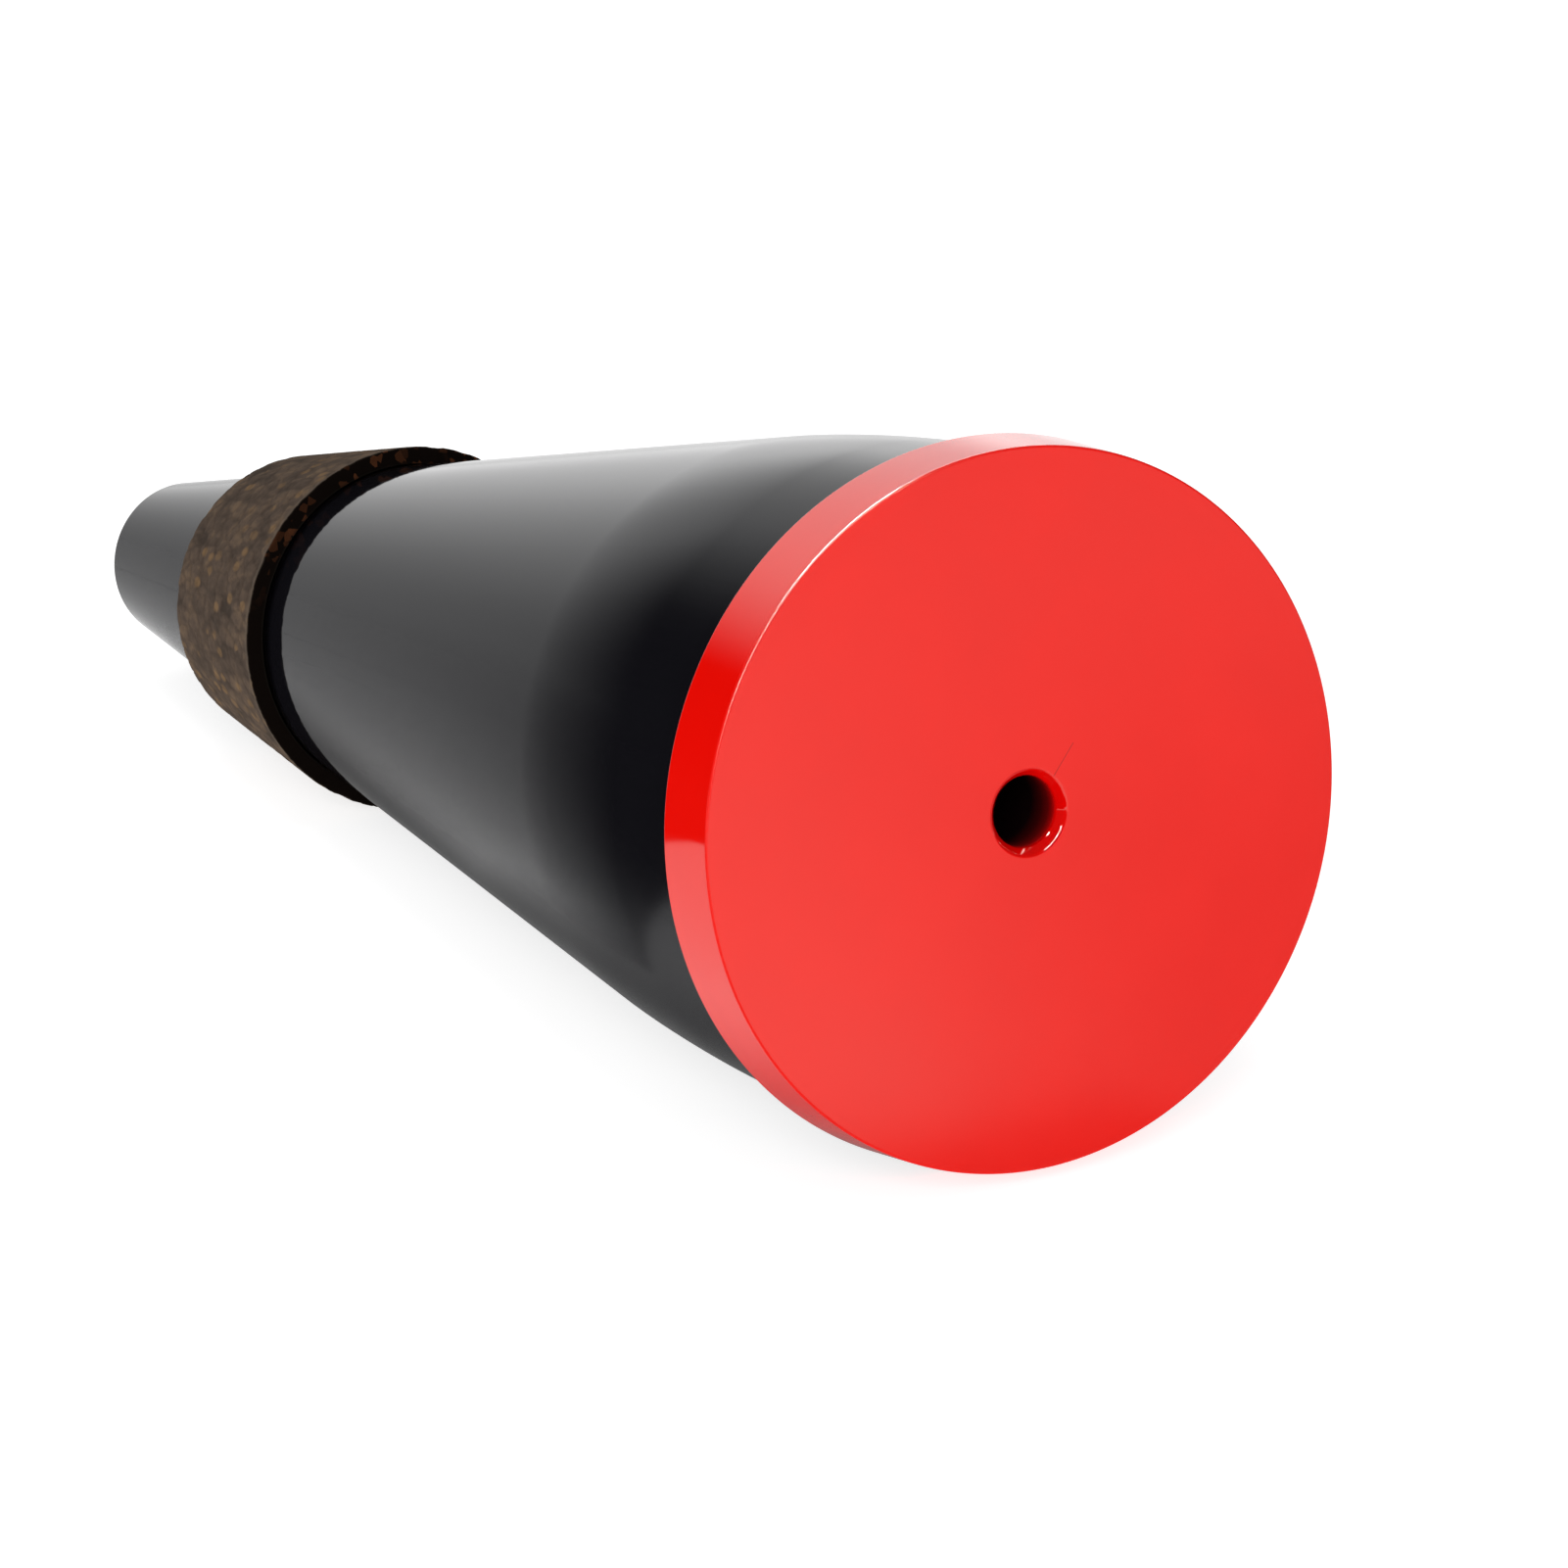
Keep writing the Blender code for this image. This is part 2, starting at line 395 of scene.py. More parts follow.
def level_length(tree, vector):
    """Length of a vector without its Z, such as the distance from the mute's axis."""
    return node(
        tree, "VectorMath", {0: stretched(tree, vector, (1.0, 1.0, 0.0))}, operation="LENGTH",
    ).outputs["Value"]


# %% Helpers for patterns and arithmetic
def grain(tree, vector, scale, detail=2.0, roughness=0.5):
    """Noise from 0 to 1, with scale in waves per millimetre."""
    return node(
        tree, "TexNoise",
        {"Vector": vector, "Scale": scale, "Detail": detail, "Roughness": roughness},
    ).outputs["Fac"]


def remap(tree, value, low, high, to_low, to_high):
    """The value moved from one range to another, and held inside it."""
    return node(
        tree, "MapRange",
        {"Value": value, "From Min": low, "From Max": high, "To Min": to_low, "To Max": to_high},
    ).outputs["Result"]


def soft_step(tree, value, low, high):
    """0 below the range, 1 above it, and a smooth rise between."""
    return node(
        tree, "MapRange", {"Value": value, "From Min": low, "From Max": high},
        interpolation_type="SMOOTHSTEP",
    ).outputs["Result"]


def calc(tree, operation, first, second):
    """One step of arithmetic."""
    return node(tree, "Math", {0: first, 1: second}, operation=operation).outputs[0]


def rest_of(tree, share):
    """What a share leaves of the whole."""
    return calc(tree, "SUBTRACT", 1.0, share)


def mixed(tree, share, first, second):
    """A colour between two, by share."""
    return node(tree, "Mix", {0: share, 6: first, 7: second}, data_type="RGBA").outputs[2]


def blended(tree, share, first, second):
    """A number between two, by share."""
    return node(tree, "Mix", {0: share, 2: first, 3: second}, data_type="FLOAT").outputs[0]


def ramp(tree, share, stops):
    """A colour read from a ramp, whose stops are (position, colour) in rising order."""
    made = node(tree, "ValToRGB", {"Fac": share})
    elements = made.color_ramp.elements
    for index, (position, colour) in enumerate(stops):
        stop = elements[index] if index < 2 else elements.new(position)
        stop.position = position
        stop.color = colour
    return made.outputs["Color"]


# %% Helpers for bumps and materials
def bump(tree, height, depth, normal=None):
    """A normal bent by a height, with the depth in millimetres."""
    sockets = {"Height": height, "Distance": depth * MM, "Strength": 1.0}
    if normal is not None:
        sockets["Normal"] = normal
    return node(tree, "Bump", sockets).outputs["Normal"]


def finish(name):
    """A new material, its node tree and its shader."""
    material = bpy.data.materials.new(name)
    material.use_nodes = True
    tree = material.node_tree
    return material, tree, tree.nodes["Principled BSDF"]


def wear(piece, material):
    """The piece wears one material all over."""
    piece.data.materials.clear()
    piece.data.materials.append(material)


# %% [markdown]
# ## Satin black plastic
#
# The shell is black plastic with a satin skin. Nearly all that we see of it is reflection, so the finish
# lives in its roughness: large soft patches, fine streaks along the axis where the moulding was drawn,
# and a very shallow orange-peel bump. The base colour stays almost black.

# %% Black skin
PATCH_SCALE = 0.035
PATCH_RANGE = (0.2, 0.8)
PATCH_ROUGHNESS = (0.10, 0.14)
STREAK_SCALE = 2.2
STREAK_STRETCH = (1.0, 1.0, 0.012)
STREAK_RANGE = (0.35, 0.75)
STREAK_ROUGHNESS = (-0.008, 0.015)
STREAK_DEPTH = 0.0006
PEEL_SCALE = 1.6
PEEL_DEPTH = 0.0008
DEEP_BLACK = (0.0036, 0.0034, 0.0048, 1)
SOFT_BLACK = (0.0052, 0.0050, 0.0066, 1)
BLACK_IOR = 1.137
BLACK_TINT = (0.91, 0.93, 1.0, 1)

black, tree, shader = finish("satin_black_plastic")
place = mute_coordinates(tree)
patches = grain(tree, place, PATCH_SCALE, detail=3.0)
streaks = grain(tree, stretched(tree, place, STREAK_STRETCH), STREAK_SCALE, detail=3.0, roughness=0.6)
peel = grain(tree, place, PEEL_SCALE)
patch_roughness = remap(tree, patches, *PATCH_RANGE, *PATCH_ROUGHNESS)
streak_roughness = remap(tree, streaks, *STREAK_RANGE, *STREAK_ROUGHNESS)
skin_roughness = calc(tree, "ADD", patch_roughness, streak_roughness)
skin_colour = mixed(tree, patches, DEEP_BLACK, SOFT_BLACK)
skin_normal = bump(tree, streaks, STREAK_DEPTH, bump(tree, peel, PEEL_DEPTH))
tree.links.new(skin_normal, shader.inputs["Normal"])
shader.inputs["IOR"].default_value = BLACK_IOR
shader.inputs["Specular Tint"].default_value = BLACK_TINT
print("skin nodes:", len(tree.nodes))

# %% [markdown]
# Two places differ. In front of the cork the cone is smoother, so it mirrors the cork's dark end as a clear
# band, and right next to the cork its colour is darkened as painted shade. The vent's bore is rough, and
# near its mouth the red lid's light is painted on the black wall as a dark red that fades into painted shade
# over the first millimetres.

# %% Black by the cork and in the vent
# Painted shade: the cone's colour is darkened right next to the cork, where the two meet.
CORK_SHADE_REACH = (CORK_FRONT - 4.0, CORK_FRONT - 0.5)
CORK_SHADE_END = (CORK_BACK, CORK_BACK + 1.0)
PAINTED_SHADE_BLACK = (0.0006, 0.0005, 0.0010, 1)
POLISHED_CONE = (CORK_FRONT - 40.0, CORK_FRONT - 8.0)
POLISH_END = (CORK_FRONT, CORK_FRONT + 2.0)
POLISHED_ROUGHNESS = 0.045
VENT_BORDER = (6.4, 6.6)
VENT_ROUGHNESS = 0.55
VENT_LIGHT_DEPTH = (1.4, 7.4)
# Painted light: the red lid's light on the black bore, fading into painted shade with depth.
VENT_PAINTED_LIGHT = (
    (0.00, (0.50, 0.0012, 0.0012, 1)),
    (0.13, (0.25, 0.0010, 0.0012, 1)),
    (0.28, (0.11, 0.0010, 0.0012, 1)),
    (0.57, (0.04, 0.0010, 0.0014, 1)),
    (1.00, (0.005, 0.0012, 0.0016, 1)),
)

station = node(tree, "SeparateXYZ", {"Vector": place}).outputs["Z"]
before_end = remap(tree, station, *CORK_SHADE_END, 1.0, 0.0)
shaded_by_cork = calc(tree, "MULTIPLY", soft_step(tree, station, *CORK_SHADE_REACH), before_end)
cork_shaded_colour = mixed(tree, shaded_by_cork, skin_colour, PAINTED_SHADE_BLACK)
before_cork = remap(tree, station, *POLISH_END, 1.0, 0.0)
polished = calc(tree, "MULTIPLY", soft_step(tree, station, *POLISHED_CONE), before_cork)
cone_roughness = blended(tree, polished, skin_roughness, POLISHED_ROUGHNESS)

in_vent = remap(tree, level_length(tree, place), *VENT_BORDER, 1.0, 0.0)
vent_painted_light = ramp(tree, remap(tree, station, *VENT_LIGHT_DEPTH, 0.0, 1.0), VENT_PAINTED_LIGHT)
black_colour = mixed(tree, in_vent, cork_shaded_colour, vent_painted_light)
black_roughness = blended(tree, in_vent, cone_roughness, VENT_ROUGHNESS)
tree.links.new(black_colour, shader.inputs["Base Color"])
tree.links.new(black_roughness, shader.inputs["Roughness"])
wear(shell_piece, black)
wear(tube_piece, black)
print("finish:", black.name)

# %% [markdown]
# ## Glossy red plastic
#
# The lid's colour is a pure strong red: what lightens it in the photograph is reflected white. The rim
# and the vent's mouth are polished: the rim mirrors the edge of a dark paper as a crisp line. The face is a
# little softer, with faint clouds in the colour and in the gloss.

# %% Red gloss
FACE_ROUGHNESS = 0.235
CLOUD_SCALE = 0.045
CLOUD_ROUGHNESS = 0.03
RIM_START = (0.15, 0.6)
RIM_ROUGHNESS = 0.07
MOUTH_BORDER = (MOUTH_RADIUS + 0.10, MOUTH_RADIUS + 0.30)
MOUTH_ROUGHNESS = 0.02
RED_IOR = 1.585
RED_TINT = (1.0, 0.98, 0.86, 1)

red, tree, shader = finish("glossy_red_plastic")
place = mute_coordinates(tree)
station = node(tree, "SeparateXYZ", {"Vector": place}).outputs["Z"]
on_rim = remap(tree, station, *RIM_START, 0.0, 1.0)
in_mouth = remap(tree, level_length(tree, place), *MOUTH_BORDER, 1.0, 0.0)
clouds = grain(tree, place, CLOUD_SCALE, detail=3.0)
smoothest = FACE_ROUGHNESS - CLOUD_ROUGHNESS
roughest = FACE_ROUGHNESS + CLOUD_ROUGHNESS
face_roughness = remap(tree, clouds, 0.0, 1.0, smoothest, roughest)
rim_roughness = blended(tree, on_rim, face_roughness, RIM_ROUGHNESS)
red_roughness = blended(tree, in_mouth, rim_roughness, MOUTH_ROUGHNESS)
tree.links.new(red_roughness, shader.inputs["Roughness"])
shader.inputs["IOR"].default_value = RED_IOR
shader.inputs["Specular Tint"].default_value = RED_TINT
print("gloss nodes:", len(tree.nodes))

# %% [markdown]
# The face shows some use. One fine hairline scratch runs out from the vent's mouth, and a few tiny specks
# are strewn over it. The scratch is a narrow band in coordinates of its own, and the specks are the middles
# of some cells of a Voronoi pattern. Both only darken the colour.

# %% Red colour, scratch and specks
HAIRLINE_START = (4.25, -4.45, 0.0)
HAIRLINE_ANGLE = math.radians(-50.5)
HAIRLINE_LENGTH = 5.4
HAIRLINE_WIDTH = 0.09
SPECK_SCALE = 0.10
SPECK_SIZE = 0.016
SPECK_SHARE = 0.5
DEEP_RED = (0.67, 0.0022, 0.0006, 1)
CLEAR_RED = (0.77, 0.0034, 0.0010, 1)
# Painted shade: a deeper red for the countersunk mouth, the shade of the recess.
MOUTH_SHADE_RED = (0.58, 0.0010, 0.0006, 1)
SPECK_RED = (0.50, 0.002, 0.001, 1)
SCRATCH_RED = (0.40, 0.002, 0.001, 1)

along = node(
    tree, "Mapping",
    {"Vector": place, "Location": HAIRLINE_START, "Rotation": (0.0, 0.0, HAIRLINE_ANGLE),
     "Scale": (HAIRLINE_LENGTH, 1.0, 1.0)},
    vector_type="TEXTURE",
).outputs["Vector"]
along_parts = node(tree, "SeparateXYZ", {"Vector": along})
beside = node(tree, "Math", {0: along_parts.outputs["Y"]}, operation="ABSOLUTE").outputs[0]
near_line = remap(tree, beside, HAIRLINE_WIDTH * 0.5, HAIRLINE_WIDTH, 1.0, 0.0)
between_ends = node(
    tree, "Math", {0: along_parts.outputs["X"], 1: 0.5, 2: 0.5}, operation="COMPARE",
).outputs[0]
hairline = calc(tree, "MULTIPLY", near_line, between_ends)
hairline = calc(tree, "MULTIPLY", hairline, rest_of(tree, on_rim))

dots = node(tree, "TexVoronoi", {"Vector": place, "Scale": SPECK_SCALE})
is_speck = calc(tree, "LESS_THAN", dots.outputs["Distance"], SPECK_SIZE)
picked = node(tree, "SeparateColor", {"Color": dots.outputs["Color"]}).outputs["Red"]
specks = calc(tree, "MULTIPLY", is_speck, calc(tree, "GREATER_THAN", picked, SPECK_SHARE))

cloudy_red = mixed(tree, clouds, DEEP_RED, CLEAR_RED)
# The vent's mouth gets painted shade as a deeper red.
mouth_shaded_red = mixed(tree, in_mouth, cloudy_red, MOUTH_SHADE_RED)
specked_red = mixed(tree, specks, mouth_shaded_red, SPECK_RED)
scratched_red = mixed(tree, hairline, specked_red, SCRATCH_RED)
tree.links.new(scratched_red, shader.inputs["Base Color"])
wear(lid_piece, red)
print("finish:", red.name)

# %% [markdown]
# ## Agglomerated cork
#
# Each granule takes its own brown from the shade kept in the mesh, a finer Voronoi pattern breaks it into
# smaller grains, soft blotches some millimetres wide run across them, and a few granules are golden. The
# joints between granules are dark binder.

# %% Cork granule colours
FINE_GRAIN = 0.85
FIBRE_SCALE = 2.5
FIBRE_RANGE = (0.4, 0.75)
FIBRE_SHARE = 0.10
FIBRE_BROWN = (0.035, 0.026, 0.020, 1)
BLOTCH_SCALE = 0.28
BLOTCH_RANGE = (0.32, 0.68)
GRANULE_WEIGHT = 0.45
FINE_WEIGHT = 0.12
BLOTCH_WEIGHT = 0.43
GRANULE_BROWNS = (
    (0.20, (0.034, 0.024, 0.019, 1)),
    (0.52, (0.074, 0.051, 0.038, 1)),
    (0.88, (0.140, 0.092, 0.057, 1)),
)
GOLDEN_GRAIN = 0.42
GOLDEN_PICK = (0.62, 0.80)
GOLDEN_SIZE = (0.22, 0.50)
GOLDEN_SHARE = 0.75
GOLDEN_BROWN = (0.190, 0.112, 0.052, 1)
BINDER_SHARE = 0.4
BINDER_BROWN = (0.028, 0.019, 0.014, 1)

cork_finish, tree, shader = finish("agglomerated_cork")
place = mute_coordinates(tree)
shade = node(tree, "Attribute", attribute_name="granule_shade").outputs["Fac"]
joint = node(tree, "Attribute", attribute_name="granule_joint").outputs["Fac"]
pressed = stretched(tree, place, (1.0, 1.0, GRANULE_STRETCH))
fine = node(tree, "TexVoronoi", {"Vector": pressed, "Scale": FINE_GRAIN})
fine_shade = node(tree, "SeparateColor", {"Color": fine.outputs["Color"]}).outputs["Red"]
fibre = grain(tree, place, FIBRE_SCALE, detail=4.0, roughness=0.65)
blotch_noise = grain(tree, pressed, BLOTCH_SCALE, detail=3.0, roughness=0.6)
blotch = remap(tree, blotch_noise, *BLOTCH_RANGE, 0.0, 1.0)

granules = calc(tree, "MULTIPLY", shade, GRANULE_WEIGHT)
for part, weight in ((fine_shade, FINE_WEIGHT), (blotch, BLOTCH_WEIGHT)):
    granules = calc(tree, "ADD", granules, calc(tree, "MULTIPLY", part, weight))
brown = ramp(tree, granules, GRANULE_BROWNS)
gold = node(tree, "TexVoronoi", {"Vector": pressed, "Scale": GOLDEN_GRAIN})
gold_pick = node(tree, "SeparateColor", {"Color": gold.outputs["Color"]}).outputs["Green"]
golden = rest_of(tree, soft_step(tree, gold.outputs["Distance"], *GOLDEN_SIZE))
golden = calc(tree, "MULTIPLY", golden, remap(tree, gold_pick, *GOLDEN_PICK, 0.0, GOLDEN_SHARE))
gilded = mixed(tree, golden, brown, GOLDEN_BROWN)
speckled = mixed(tree, remap(tree, fibre, *FIBRE_RANGE, 0.0, FIBRE_SHARE), gilded, FIBRE_BROWN)
bound = mixed(tree, calc(tree, "MULTIPLY", joint, BINDER_SHARE), speckled, BINDER_BROWN)
print("granule nodes:", len(tree.nodes))

# %% [markdown]
# The strip's front edge is painted a little lighter, a painted highlight. Over its front end the colour is
# almost black, with a few reddish granules only towards its top. Cork is dull, so the finish has no
# gloss, only a dusty sheen where it is seen at a slant.

# %% Cork edge and dullness
# Painted highlight: a lighter band along the strip's front edge.
LIT_EDGE_BAND = (CORK_FRONT + 0.5, CORK_FRONT + 1.7)
LIT_EDGE_SHARE = 0.45
LIT_EDGE_BROWN = (0.125, 0.100, 0.078, 1)
# The front end face is coloured almost black, with reddish granules only towards its top.
DARK_END_BAND = (CORK_FRONT + 0.20, CORK_FRONT + 0.55)
DARK_END_BROWN = (0.0030, 0.0018, 0.0014, 1)
FLECK_PICK = (0.66, 0.96)
FLECK_SHARE = 0.8
FLECKED_FROM = (6.0, 20.0)
FLECK_BROWN = (0.070, 0.024, 0.010, 1)
DULL_RANGE = (0.3, 0.7)
DULL_ROUGHNESS = (0.55, 0.75)
GRAIN_DEPTH = 0.02
SHEEN_WEIGHT = 0.05
SHEEN_ROUGHNESS = 0.5
SHEEN_TINT = (1.0, 0.86, 0.72, 1)

parts = node(tree, "SeparateXYZ", {"Vector": place}).outputs
lit_edge = remap(tree, parts["Z"], *LIT_EDGE_BAND, LIT_EDGE_SHARE, 0.0)
lit_edge_colour = mixed(tree, lit_edge, bound, LIT_EDGE_BROWN)
height = calc(tree, "MULTIPLY", parts["Y"], -1.0)
flecks = remap(tree, fine_shade, *FLECK_PICK, 0.0, FLECK_SHARE)
flecks = calc(tree, "MULTIPLY", flecks, soft_step(tree, height, *FLECKED_FROM))
flecked = mixed(tree, flecks, DARK_END_BROWN, FLECK_BROWN)
on_end = remap(tree, parts["Z"], *DARK_END_BAND, 1.0, 0.0)
dark_end_colour = mixed(tree, on_end, lit_edge_colour, flecked)
cork_normal = bump(tree, fine.outputs["Distance"], GRAIN_DEPTH, bump(tree, fibre, GRAIN_DEPTH))
tree.links.new(dark_end_colour, shader.inputs["Base Color"])
tree.links.new(remap(tree, fibre, *DULL_RANGE, *DULL_ROUGHNESS), shader.inputs["Roughness"])
tree.links.new(cork_normal, shader.inputs["Normal"])
shader.inputs["Specular IOR Level"].default_value = 0.0
shader.inputs["Sheen Weight"].default_value = SHEEN_WEIGHT
shader.inputs["Sheen Roughness"].default_value = SHEEN_ROUGHNESS
shader.inputs["Sheen Tint"].default_value = SHEEN_TINT
wear(cork_piece, cork_finish)
print("finish:", cork_finish.name)

# %% [markdown]
# ## A white table
#
# The mute lies on plain white: a large sheet of acrylic, a hair below the mute so that the two never
# share a surface. As on the tables made for product photographs, some light comes through it from below,
# which takes most of the shadow away.

# %% Floor
FLOOR_SIZE = 6.0
FLOOR_DROP = 0.0001
FLOOR_GLOW = 0.75
FLOOR_WHITE = (0.60, 0.60, 0.60, 1)
FLOOR_ROUGHNESS = 0.9


def stage_piece(shape, name, material):
    """A bmesh made an object of the stage, which is not part of the mute."""
    mesh = bpy.data.meshes.new(name)
    shape.to_mesh(mesh)
    shape.free()
    piece = bpy.data.objects.new(name, mesh)
    bpy.context.scene.collection.objects.link(piece)
    wear(piece, material)
    return piece


white, tree, shader = finish("white_table")
shader.inputs["Base Color"].default_value = FLOOR_WHITE
shader.inputs["Roughness"].default_value = FLOOR_ROUGHNESS
shader.inputs["Specular IOR Level"].default_value = 0.0
shader.inputs["Emission Color"].default_value = (1.0, 1.0, 1.0, 1)
shader.inputs["Emission Strength"].default_value = FLOOR_GLOW
sheet = bmesh.new()
bmesh.ops.create_grid(sheet, x_segments=1, y_segments=1, size=FLOOR_SIZE / 2)
bmesh.ops.translate(sheet, verts=sheet.verts, vec=(0.0, 0.0, -FLOOR_DROP))
stage_piece(sheet, "floor", white)
print("floor:", FLOOR_SIZE, "m")

# %% [markdown]
# ## What the gloss mirrors
#
# Gloss shows what stands round it. In the photograph the rim and the skirt mirror a bright back, a dark
# left side and a slanted soft border between the two. One function of two angles describes that border:
# the azimuth to the left and the elevation, as a stage point is seen from in front of the lid. It is 0
# where the surroundings are bright and 1 where they are dark.

# %% Border between bright and dark
SIGHT_POINT = (-0.010, -0.200, 0.060)
DARK_SIDE = (8.0, 25.0)
DARK_SLANT = 0.65
DARK_TOP = (14.5, 29.5)


def stage_place(tree, origin=(0.0, 0.0, 0.0), turn=0.0):
    """Coordinates of the stage, from an origin and turned about Z."""
    whole = node(tree, "TexCoord").outputs["Object"]
    return node(
        tree, "Mapping", {"Vector": whole, "Location": origin, "Rotation": (0.0, 0.0, turn)},
        vector_type="TEXTURE",
    ).outputs["Vector"]


def sight_angles(tree):
    """Azimuth to the left of +Y and elevation, in degrees, as seen from the sight point."""
    seen = stage_place(tree, SIGHT_POINT)
    parts = node(tree, "SeparateXYZ", {"Vector": seen}).outputs
    level = level_length(tree, seen)
    azimuth = calc(tree, "ARCTAN2", calc(tree, "MULTIPLY", parts["X"], -1.0), parts["Y"])
    elevation = calc(tree, "ARCTAN2", parts["Z"], level)
    return calc(tree, "DEGREES", azimuth, 0.0), calc(tree, "DEGREES", elevation, 0.0)


def dark_share(tree, azimuth, elevation):
    """0 where the surroundings are bright and 1 where they are dark."""
    lift = calc(tree, "MULTIPLY", calc(tree, "MAXIMUM", elevation, 0.0), DARK_SLANT)
    side = soft_step(tree, calc(tree, "ADD", azimuth, lift), *DARK_SIDE)
    under_top = rest_of(tree, soft_step(tree, elevation, *DARK_TOP))
    return calc(tree, "MULTIPLY", side, under_top)


print("border, degrees to the left:", DARK_SIDE)

# %% [markdown]
# A few dark papers stand for the rest of the room and for shadows on the table, and only glossy rays see
# them:
# they darken reflections and take no light away. The one on the left has the crisp near edge that the rim
# mirrors. The one in front, to the right, is a painted shadow on the table that deepens the red of the face
# towards its lower right. One lies under the mute and deepens the mirrored shadow there. A thin shade on the
# left turns up behind the neck. A small one in front of the lid is a painted shadow under the lid's overhang
# and keeps the red of the vent's mouth deep. How dark a paper is, from place to place, is its cover.

# %% Covers of the papers
FRONT_LINE = (0.086, -0.350, 0.0)
FRONT_TURN = math.radians(28.6)
FRONT_SIDE = (-0.030, 0.070)
FRONT_END = (0.42, 0.66)
FRONT_SHARE = 0.75
UNDER_HALF_WIDTH = (0.040, 0.066)
UNDER_TAPER = 0.46
UNDER_EDGE = (0.45, 1.0)
UNDER_FRONT = (-0.235, -0.165)
UNDER_BACK = (0.090, 0.145)
UNDER_SHARE = 0.75
SHADE_LEFT = (-0.340, -0.150)
SHADE_TOP = (0.010, 0.065)
SHADE_SHARE = 0.16
MOUTH_SHARE = 0.92


def stage_parts(tree, *origin_and_turn):
    """X, Y and Z of the stage, each by itself."""
    return node(tree, "SeparateXYZ", {"Vector": stage_place(tree, *origin_and_turn)}).outputs


def left_cover(tree):
    """The dark left side."""
    return dark_share(tree, *sight_angles(tree))


# Painted shadow on the table, seen only in the face's reflections.
def front_cover(tree):
    """Dark to the right of a line that runs forward from the lid, and clear again far away."""
    parts = stage_parts(tree, FRONT_LINE, FRONT_TURN)
    side = soft_step(tree, parts["X"], *FRONT_SIDE)
    ahead = calc(tree, "MULTIPLY", parts["Y"], -1.0)
    near = calc(tree, "MULTIPLY", rest_of(tree, soft_step(tree, ahead, *FRONT_END)), FRONT_SHARE)
    return calc(tree, "MULTIPLY", side, near)


def under_cover(tree):
    """Dark under the mute, narrowing with it, and clear at the edges."""
    narrow, wide = UNDER_HALF_WIDTH
    parts = stage_parts(tree)
    half_width = calc(tree, "SUBTRACT", narrow, calc(tree, "MULTIPLY", parts["Y"], UNDER_TAPER))
    half_width = calc(tree, "MINIMUM", calc(tree, "MAXIMUM", half_width, narrow), wide)
    aside = node(tree, "Math", {0: parts["X"]}, operation="ABSOLUTE").outputs[0]
    clear = soft_step(tree, calc(tree, "DIVIDE", aside, half_width), *UNDER_EDGE)
    cover = calc(tree, "MULTIPLY", rest_of(tree, clear), UNDER_SHARE)
    cover = calc(tree, "MULTIPLY", cover, soft_step(tree, parts["Y"], *UNDER_FRONT))
    return calc(tree, "MULTIPLY", cover, rest_of(tree, soft_step(tree, parts["Y"], *UNDER_BACK)))


def shade_cover(tree):
    """A thin shade round the mute's left side and behind its neck, clear at its top and its left."""
    parts = stage_parts(tree)
    cover = calc(tree, "MULTIPLY", soft_step(tree, parts["X"], *SHADE_LEFT), SHADE_SHARE)
    return calc(tree, "MULTIPLY", cover, rest_of(tree, soft_step(tree, parts["Z"], *SHADE_TOP)))


# Painted shadow under the lid's overhang, seen only in the vent mouth's reflections.
def mouth_cover(tree):
    """Even and dark, right in front of the lid, where the vent's mouth mirrors the table."""
    return MOUTH_SHARE


print("covers, darkest shares:", FRONT_SHARE, UNDER_SHARE, SHADE_SHARE, MOUTH_SHARE)

# %% Papers
LEFT_CORNERS = (
    (-0.045, -0.070), (-0.185, 0.050), (-0.185, -0.100), (-0.015, -0.142), (-0.015, -0.200),
    (-0.050, -0.250), (-0.050, -0.700), (-0.850, -0.700), (-0.850, 0.650), (0.100, 0.750),
)
FRONT_CORNERS = ((0.000, -0.150), (0.420, -1.100), (1.400, -1.100), (1.400, -0.150))
UNDER_CORNERS = ((-0.070, -0.240), (0.070, -0.240), (0.070, 0.150), (-0.070, 0.150))
SHADE_CORNERS = ((-0.350, -0.135), (0.060, -0.135), (0.060, 0.215), (-0.350, 0.215))
NECK_CORNERS = ((-0.350, 0.215, 0.0), (0.060, 0.215, 0.0), (0.060, 0.215, 0.070), (-0.350, 0.215, 0.070))
MOUTH_CORNERS = ((-0.060, -0.185), (0.035, -0.185), (0.035, -0.144), (-0.060, -0.144))
PAPER_GAP = 0.0003
PAPER_BLACK = (0.002, 0.002, 0.0024, 1)


def on_table(corners, layer):
    """Corners (x, y) of a sheet in a layer, counted up from the table."""
    return [(x, y, layer * PAPER_GAP) for x, y in corners]


def paper(name, corners, cover_of):
    """A sheet that only glossy rays see, as dark as its cover says."""
    material, tree, shader = finish(name)
    shader.inputs["Base Color"].default_value = PAPER_BLACK
    shader.inputs["Roughness"].default_value = 1.0
    shader.inputs["Specular IOR Level"].default_value = 0.0
    clear = node(tree, "BsdfTransparent").outputs["BSDF"]
    faded = node(tree, "MixShader", {0: cover_of(tree), 1: clear, 2: shader.outputs["BSDF"]})
    tree.links.new(faded.outputs["Shader"], tree.nodes["Material Output"].inputs["Surface"])
    shape = bmesh.new()
    shape.faces.new([shape.verts.new(corner) for corner in corners])
    sheet = stage_piece(shape, name, material)
    sheet.visible_camera = False
    sheet.visible_diffuse = False
    sheet.visible_shadow = False
    sheet.visible_transmission = False
    print("paper:", name)


